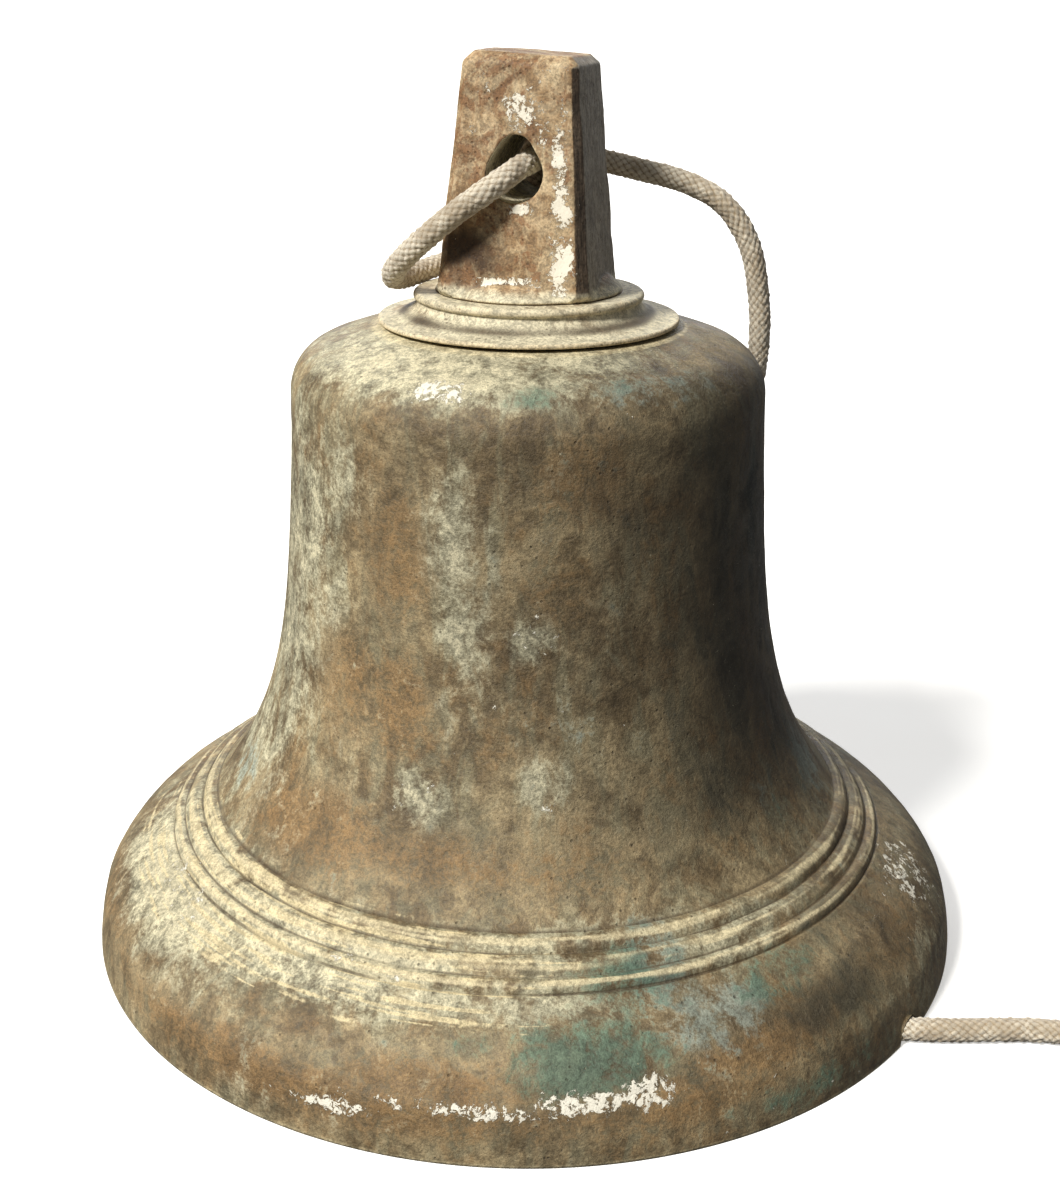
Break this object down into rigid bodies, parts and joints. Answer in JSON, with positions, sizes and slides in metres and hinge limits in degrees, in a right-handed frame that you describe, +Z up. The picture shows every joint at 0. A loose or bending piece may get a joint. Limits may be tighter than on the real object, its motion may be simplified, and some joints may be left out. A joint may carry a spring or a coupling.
{
  "type": "ship bell",
  "caption": "Bronze ship bell with a flared mouth, beaded waist, crown collar, bored hanger post, two-way linked clapper and a cotton rope through the post.",
  "frame": {"origin": "centre of the mouth, on the plane the rim stands on", "axes": "+Z up along the bell's axis towards the hanger post; +Y along the post's bore, the worn front mouth of the bore facing -Y"},
  "size_m": [0.413, 0.3264, 0.2705],
  "materials": {
    "shell_bronze": "aged bronze, matt tan and olive patina with verdigris and lime flecks",
    "crown_bronze": "aged bronze, dull tan patina with file marks and white lime deposits",
    "gasket_leather": "compressed, dark and dirty",
    "stud_iron": "rusted and dull",
    "pin_steel": "worn and tarnished",
    "clapper_bronze": "aged bronze, worn bright where it strikes",
    "rope_cotton": "off-white braided cotton, slightly fuzzy",
    "twine": "waxed whipping twine"
  },
  "bodies": {
    "bell": {"bell_shell": "shell_bronze", "crown_collar": "crown_bronze", "seat_gasket": "gasket_leather", "hanger_post": "crown_bronze", "stud_washer": "stud_iron", "stud_nut": "stud_iron", "lock_nut": "stud_iron", "rope": "rope_cotton", "rope_knot": "rope_cotton", "rope_coil": "rope_cotton", "coil_tie": "twine", "rope_whipping": "twine"},
    "link": {"clapper_link": "stud_iron", "upper_pin": "pin_steel", "upper_split_pin": "pin_steel", "lower_pin": "pin_steel", "lower_split_pin": "pin_steel"},
    "clapper": {"clapper_rod": "stud_iron", "clapper_ball": "clapper_bronze", "lanyard_eye": "clapper_bronze"}
  },
  "joints": [
    {"name": "link_swing", "type": "hinge", "parent": "bell", "child": "link", "pos_m": [0, 0, 0.154], "axis": [1, 0, 0], "range_deg": [-7, 7]},
    {"name": "clapper_swing", "type": "hinge", "parent": "link", "child": "clapper", "pos_m": [0, 0, 0.134], "axis": [0, 1, 0], "range_deg": [-40, 40]}
  ]
}
